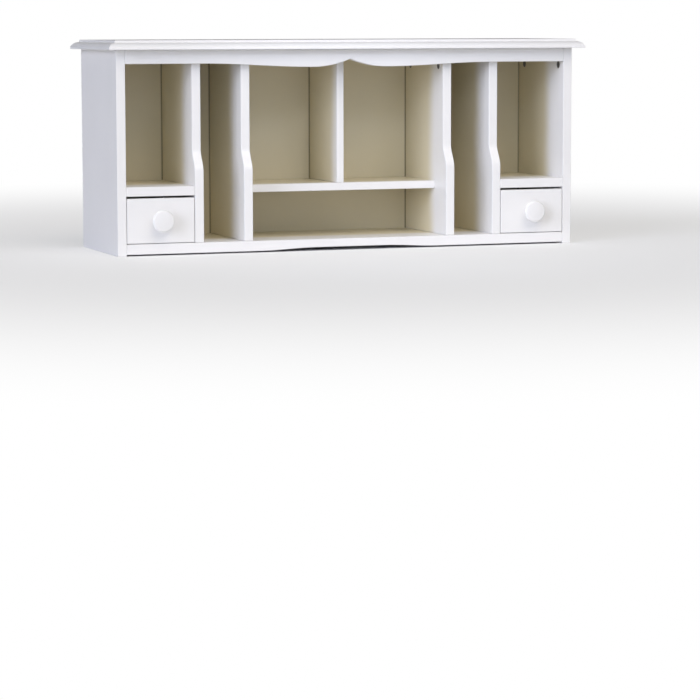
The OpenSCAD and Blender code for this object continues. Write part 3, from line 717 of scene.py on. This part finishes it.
# %% Moulded top board
LIP_H, MOULD_W, MOULD_STEP, MOULD_R = 3.5, 15.0, 4.5, 16.0
low, high = corners_mm("top_board")
thick = high[2] - low[2]
start, end = np.array([0, LIP_H]), np.array([MOULD_W, thick - MOULD_STEP])
chord = end - start
reach = np.linalg.norm(chord)
sideways = np.array([chord[1], -chord[0]]) / reach
centre = (start + end) / 2 + sideways * math.sqrt(MOULD_R ** 2 - reach ** 2 / 4)
first = math.atan2(*(start - centre)[::-1])
last = math.atan2(*(end - centre)[::-1])
sweep = np.linspace(first, last, 15)[:, None]
cut = centre + MOULD_R * np.concatenate([np.cos(sweep), np.sin(sweep)], axis=1)
profile = np.concatenate([[[9.0, 0]], [[0, 0]], cut, [[MOULD_W, thick]], [[MOULD_W + 9, thick]]])
spots, lean = rounded(profile * [-1, 1], 0.7, steps=3, closed=False)
insets = np.clip(-spots[:, 0], 0, None)

rings, ring_normals = [], []
for inset, height, (out, rise) in zip(insets, spots[:, 1], lean):
    points, normals = rounded(rectangle(low[:2] + inset, high[:2] - inset), 1.0)
    rings.append(np.concatenate([points, np.full((len(points), 1), low[2] + height)], axis=1))
    ring_normals.append(np.concatenate([out * normals, np.full((len(points), 1), rise)], axis=1))
rings, ring_normals = np.array(rings), np.array(ring_normals)
count, around = rings.shape[:2]
flat = rings.reshape(-1, 3)
corner = np.repeat(np.abs(2 * lean[:, 0] * lean[:, 1]) * (np.abs(lean[:, 0]) > 0.3), around) * 0.5
patches = [(flat, ring_normals.reshape(-1, 3), tube_quads(count, around), flat, corner)]
for ring, way in ((rings[0], -1), (rings[-1], 1)):
    for p, n, f in flat_face(ring, (0, 0, way)):
        patches.append((p, n, f, p, np.zeros(len(p))))
make_piece("top_board_lacquered", patches, "case", WHITE, ["top_board"])
print("moulding: lip", LIP_H, "mm, round of", MOULD_R, "mm, step", MOULD_STEP, "mm")

# %% [markdown]
# ## Drawers
#
# Each drawer is a plywood box behind a lacquered front: two sides, a back between them, and a thin
# bottom in grooves. A pine block on the bottom board stops it with its front flush.

# %% Drawers and stops
BOX_EDGE = {"ease": 0.8, "corner": 1.2}
for side in ("left", "right"):
    body = side + "_drawer"
    low, high = corners_mm(body + "_front")
    patches = board_patches(rectangle(low[[0, 2]], high[[0, 2]]), low[1], high[1], "xz",
                            ease=1.4, corner=1.8)
    make_piece(body + "_front_lacquered", patches, body, WHITE, [body + "_front"])
    for part in ("_left_side", "_right_side"):
        low, high = corners_mm(body + part)
        patches = board_patches(rectangle(low[1:], high[1:]), low[0], high[0], "yz", along=1, **BOX_EDGE)
        make_piece(body + part + "_ply", patches, body, DRAWER_PLY, [body + part])
    low, high = corners_mm(body + "_back")
    patches = board_patches(rectangle(low[[0, 2]], high[[0, 2]]), low[1], high[1], "xz", **BOX_EDGE)
    make_piece(body + "_back_ply", patches, body, DRAWER_PLY, [body + "_back"])
    low, high = corners_mm(body + "_bottom")
    patches = board_patches(rectangle(low[:2], high[:2]), low[2], high[2], "xy",
                            ease=0.3, corner=0.6, along=1)
    make_piece(body + "_bottom_ply", patches, body, BOTTOM_PLY, [body + "_bottom"])
    low, high = corners_mm(body + "_stop")
    patches = board_patches(rectangle(low[[0, 2]], high[[0, 2]]), low[1], high[1], "xz", **BOX_EDGE)
    make_piece(body + "_stop_pine", patches, "case", PINE, [body + "_stop"])
print("drawer front", np.round(np.subtract(*corners_mm("left_drawer_front")[::-1]), 1), "mm")

# %% [markdown]
# ## Knobs
#
# The knob is turned and sprayed with the fronts: a small foot, a neck that opens like a trumpet, and a
# flat head inside a half-round rim. The neck's radius is the narrowest one, plus a square term that
# widens it to the foot, plus a cubic one that widens it to the rim.

# %% Knobs
KNOB_FOOT_R, KNOB_NECK_R, KNOB_FOOT_H, RIM_R, CROWN = 9.0, 7.0, 2.0, 4.5, 1.2


def knob_profile(radius, length):
    """Points of (radius, height) from the foot's centre to the head's centre."""
    rim_x, head_z = radius - RIM_R, length - CROWN - 2 * RIM_R
    t = np.linspace(0, 1, 25)[1:]
    neck_r = KNOB_NECK_R + (KNOB_FOOT_R - KNOB_NECK_R) * (1 - t) ** 2 + (rim_x - KNOB_NECK_R) * t ** 3
    neck = np.stack([neck_r, KNOB_FOOT_H + (head_z - KNOB_FOOT_H) * t], axis=1)
    a = np.radians(np.linspace(-90, 90, 21))[1:]
    rim = np.stack([rim_x + RIM_R * np.cos(a), head_z + RIM_R + RIM_R * np.sin(a)], axis=1)
    t = np.linspace(0, 1, 15)[1:-1]
    face = np.stack([rim_x * (1 - t), length - CROWN * (1 - t) ** 2], axis=1)
    foot = [[0.3, 0], [KNOB_FOOT_R, 0], [KNOB_FOOT_R, KNOB_FOOT_H]]
    return np.concatenate([foot, neck, rim, face, [[0.3, length]]])


for side in ("left", "right"):
    low, high = corners_mm(side + "_knob")
    radius = (high[0] - low[0]) / 2
    seat = ((low[0] + high[0]) / 2, high[1], (low[2] + high[2]) / 2)
    patches = turned_patches(knob_profile(radius, high[1] - low[1]), seat, (0, -1, 0), around=96)
    make_piece(side + "_knob_lacquered", patches, side + "_drawer", WHITE, [side + "_knob"])
print("knob", round(2 * radius, 1), "mm across,", round(high[1] - low[1], 1), "mm long")

# %% [markdown]
# ## Cam locks and screws
#
# A cam lock is a cast disc with a cross for the driver, let into the face of a board. The screws through
# the back have pan heads, the drawer's are countersunk, and the knob's is a pan head inside the drawer.
# All are turned profiles with a cross pressed into the head.

# %% Cam locks
def head_rings(radius, step=0.22):
    """Points on a flat head at height zero, from its rim to its centre."""
    r = np.linspace(radius, 0.1, int(radius / step) + 2)
    return np.stack([r, np.zeros_like(r)], axis=1)


def lock_patches(at, way, radius, deep):
    """A cam lock with its face at a point, looking along way."""
    profile = np.concatenate([[[0.3, -deep], [radius, -deep]], head_rings(radius, 0.28)])
    return turned_patches(profile, at, way, around=72, press=cross_press(0.8, 4.5, 1.5), rounding=0.35)


locks = []
for name, way, ys in (("left_side_panel", 1, PANEL_LOCK_YS), ("left_inner_divider", 1, BOARD_LOCK_YS),
                      ("right_inner_divider", -1, BOARD_LOCK_YS), ("right_side_panel", -1, PANEL_LOCK_YS)):
    low, high = corners_mm(name)
    face = high[0] if way > 0 else low[0]
    for y in ys:
        locks += lock_patches((face - LOCK_SUNK * way, y, LOCK_Z), (way, 0, 0), lock_r,
                              LOCK_DEEP - 2 * LOCK_SUNK)
make_piece("top_cam_locks_cast", locks, "case", ZINC, ["top_cam_locks"], sharp=25)

locks = []
for s in (-1, 1):
    for y in BOARD_LOCK_YS:
        locks += lock_patches((s * BASE_X, y, inner_low[2] + LOCK_SUNK), (0, 0, -1), lock_r,
                              base_high[2] - inner_low[2] - 2 * LOCK_SUNK)
make_piece("base_cam_locks_cast", locks, "case", ZINC, ["base_cam_locks"], sharp=25)
print("cam locks", round(2 * lock_r, 1), "mm across")

# %% Screws
PAN_EDGE = 0.45


def screw_patches(at, way, head_r, head_h, shank_r, length, pan):
    """A screw whose head's top centre is at a point and looks along way. Its length is overall."""
    if pan:
        edge_z = PAN_EDGE - head_h
        under = [[shank_r, -head_h], [head_r, -head_h], [head_r, edge_z]]
        a = np.linspace(0, 1, 9)[1:]
        brow = head_r * 0.75
        dome_r = head_r - (head_r - brow) * ease(a / 2) * 2
        dome = np.stack([dome_r, edge_z * (1 - np.sin(np.pi / 2 * a))], axis=1)
        top = np.concatenate([under, dome, head_rings(brow, 0.16)[1:]])
    else:
        top = np.concatenate([[[shank_r, -head_h], [head_r, -0.2]], head_rings(head_r, 0.16)])
    tip = [[0.2, -length], [shank_r, 1.5 * shank_r - length]]
    return turned_patches(np.concatenate([tip, top]), at, way, around=56,
                          press=cross_press(0.42, head_r * 0.62, 1.1, 0.2), rounding=0.15)


SCREW_EDGE, BACK_SCREW_R, BACK_SHANK_R = 50.0, 3.2, 1.5
SUNK_SCREW = {"head_r": 3.5, "head_h": 2.4, "shank_r": 1.75, "length": 28, "pan": False}
KNOB_SCREW = {"head_r": 4.0, "head_h": 2.5, "shank_r": 2.0, "pan": True}
DRAWER_SCREW_EDGE = 12
back_screws_low, back_screws_high = corners_mm("back_panel_screws")
proud = back_screws_high[1] - back_high[1]
screws = []
for name in ("left_outer_divider", "left_inner_divider", "centre_divider", "right_inner_divider",
             "right_outer_divider"):
    low, high = corners_mm(name)
    rows = [low[2] + SCREW_EDGE, high[2] - SCREW_EDGE]
    if name != "centre_divider":
        rows.append((low[2] + high[2]) / 2)
    for z in rows:
        at = ((low[0] + high[0]) / 2, back_screws_high[1], z)
        screws += screw_patches(at, (0, 1, 0), BACK_SCREW_R, proud, BACK_SHANK_R,
                                back_screws_high[1] - back_screws_low[1], True)
make_piece("back_panel_screws_plated", screws, "case", STEEL, ["back_panel_screws"], sharp=25)

for side in ("left", "right"):
    body = side + "_drawer"
    low, high = corners_mm(body + "_back")
    box_low, box_high = corners_mm(body + "_screws")
    screws = []
    for z in (low[2] + DRAWER_SCREW_EDGE, high[2] - DRAWER_SCREW_EDGE):
        for face, way in ((box_low[0], -1), (box_high[0], 1)):
            screws += screw_patches((face, (low[1] + high[1]) / 2, z), (way, 0, 0), **SUNK_SCREW)
    make_piece(body + "_screws_plated", screws, body, STEEL, [body + "_screws"], sharp=25)
    low, high = corners_mm(side + "_knob_screw")
    at = ((low[0] + high[0]) / 2, high[1], (low[2] + high[2]) / 2)
    screws = screw_patches(at, (0, 1, 0), length=high[1] - low[1], **KNOB_SCREW)
    make_piece(side + "_knob_screw_plated", screws, body, STEEL, [side + "_knob_screw"], sharp=25)
print("back panel screws stand", round(proud, 1), "mm proud")

# %% [markdown]
# ## Floor, light and camera
#
# The hutch stands on a pale floor that runs out to white. Four lights do the work. A big soft box on the
# left reaches a hand's breadth into each bay. The room is brightest in front and dark behind, so the
# backs of the bays fall into shade. A broad warm key, high in front, throws the top board's shadow on
# the rail, and a lamp close by draws the knobs' soft shadows. The camera is far off with a long lens, a
# little left of the middle and just above the top board.

# %% Floor
FLOOR_LIFT, WHITE_STARTS, WHITE_ENDS, FLOOR_HALF = 0.5, 0.7, 2.4, 40


def floor_finish():
    """Matt pale paper, lifted towards white for the camera alone: by FLOOR_LIFT near the hutch, and
    fully from WHITE_ENDS metres away. All other rays meet plain paper."""
    made = bpy.data.materials.new("pale_paper")
    made.use_nodes = True
    tree = made.node_tree
    bsdf = tree.nodes["Principled BSDF"]
    bsdf.inputs["Roughness"].default_value = 0.9
    place = add(tree, "TexCoord").outputs["Object"]
    grain = add(tree, "TexNoise", {"Vector": place, "Scale": 90.0, "Detail": 4.0}).outputs[0]
    tint = blend_colours(tree, grain, linear("#F3F3F4"), linear("#EFEFF0"))
    tree.links.new(tint, bsdf.inputs["Base Color"])
    distance = add(tree, "VectorMath", {0: place}, operation="LENGTH").outputs["Value"]
    lift = ramp(tree, distance, WHITE_STARTS, WHITE_ENDS, FLOOR_LIFT, 1.0)
    camera_ray = add(tree, "LightPath").outputs["Is Camera Ray"]
    lift = add(tree, "Math", {0: lift, 1: camera_ray}, operation="MULTIPLY").outputs[0]
    x, y, _ = add(tree, "SeparateXYZ", {0: place}).outputs
    beyond = []
    for way, edge in ((x, INNER_HALF), (y, -case_low[1] * MM)):
        far = add(tree, "Math", {0: way}, operation="ABSOLUTE").outputs[0]
        beyond.append(add(tree, "Math", {0: far, 1: edge}, operation="GREATER_THAN").outputs[0])
    open_floor = add(tree, "Math", {0: beyond[0], 1: beyond[1]}, operation="MAXIMUM").outputs[0]
    lift = add(tree, "Math", {0: lift, 1: open_floor}, operation="MULTIPLY").outputs[0]
    white = add(tree, "Emission", {"Color": (1, 1, 1, 1), "Strength": 1.0}).outputs[0]
    mixed = add(tree, "MixShader", {0: lift, 1: bsdf.outputs[0], 2: white}).outputs[0]
    tree.links.new(mixed, tree.nodes["Material Output"].inputs["Surface"])
    return made


mesh = bpy.data.meshes.new("floor")
square = rectangle((-FLOOR_HALF, -FLOOR_HALF), (FLOOR_HALF, FLOOR_HALF)).tolist()
mesh.from_pydata([(x, y, 0) for x, y in square], [], [(0, 1, 2, 3)])
floor = bpy.data.objects.new("floor", mesh)
bpy.context.scene.collection.objects.link(floor)
mesh.materials.append(floor_finish())

# %% Light
ROOM_FRONT, ROOM_STRENGTH, ROOM_COLOUR = (0.0, -0.94, 0.34), 0.71, (0.89, 0.96, 1.08, 1)
world = bpy.context.scene.world or bpy.data.worlds.new("room")
bpy.context.scene.world = world
world.use_nodes = True
tree = world.node_tree
tree.nodes.clear()
direction = add(tree, "TexCoord").outputs["Generated"]
facing = add(tree, "VectorMath", {0: direction, 1: ROOM_FRONT}, operation="DOT_PRODUCT").outputs["Value"]
amount = ramp(tree, facing, 0.0, 1.0, 0.0, ROOM_STRENGTH, smooth=False)
fill = add(tree, "Background", {"Color": ROOM_COLOUR, "Strength": amount}).outputs[0]
seen = add(tree, "Background", {"Color": (1, 1, 1, 1), "Strength": 1.0}).outputs[0]
camera_ray = add(tree, "LightPath").outputs["Is Camera Ray"]
room = add(tree, "MixShader", {0: camera_ray, 1: fill, 2: seen}).outputs[0]
add(tree, "OutputWorld", {0: room})


def soft_sun(name, azimuth, elevation, strength, spread, colour):
    """A distant light: azimuth is its angle from the front towards +X, in degrees."""
    data = bpy.data.lights.new(name, "SUN")
    data.energy, data.angle, data.color = strength, math.radians(spread), colour
    lamp = bpy.data.objects.new(name, data)
    a, e = math.radians(azimuth), math.radians(elevation)
    towards = Vector((math.sin(a) * math.cos(e), -math.cos(a) * math.cos(e), math.sin(e)))
    lamp.matrix_world = towards.to_track_quat("Z", "Y").to_matrix().to_4x4()
    bpy.context.scene.collection.objects.link(lamp)


def close_lamp(name, place, aim, power, size, colour):
    """A small square lamp at a place, aimed at a point."""
    data = bpy.data.lights.new(name, "AREA")
    data.energy, data.size, data.color = power, size, colour
    lamp = bpy.data.objects.new(name, data)
    turn = (Vector(place) - Vector(aim)).to_track_quat("Z", "Y").to_matrix().to_4x4()
    lamp.matrix_world = Matrix.Translation(place) @ turn
    bpy.context.scene.collection.objects.link(lamp)


soft_sun("key", azimuth=6, elevation=49, strength=0.90, spread=40, colour=(1.0, 0.86, 0.67))
soft_sun("left_box", azimuth=-62, elevation=14, strength=1.50, spread=36, colour=(0.94, 0.98, 1.17))
close_lamp("near_lamp", place=(0.0, -0.62, 0.60), aim=(0.0, -0.13, 0.10), power=0.52, size=0.10,
           colour=(0.92, 0.97, 1.15))
bpy.context.scene.view_settings.view_transform = "Standard"

# %% Camera
YAW, PITCH, ROLL = (math.radians(v) for v in (20.03, 6.65, -0.1))
STANDS, LENS, SENSOR = (-1.84404, -5.18097, 0.43792), 141.36, 36.0
forward = Vector((math.sin(YAW) * math.cos(PITCH), math.cos(YAW) * math.cos(PITCH), -math.sin(PITCH)))
level = Vector((math.cos(YAW), -math.sin(YAW), 0))
above = level.cross(forward)
right = math.cos(ROLL) * level + math.sin(ROLL) * above
up = math.cos(ROLL) * above - math.sin(ROLL) * level
turn = Matrix((right, up, -forward)).transposed().to_4x4()
data = bpy.data.cameras.new("camera")
data.sensor_width, data.lens = SENSOR, LENS
data.shift_x, data.shift_y = 0.0003, -0.0065
data.clip_end = 200
camera = bpy.data.objects.new("camera", data)
camera.matrix_world = Matrix.Translation(STANDS) @ turn
bpy.context.scene.collection.objects.link(camera)
bpy.context.scene.camera = camera
print("camera", round(camera.location.length, 2), "m away, lens", LENS, "mm")
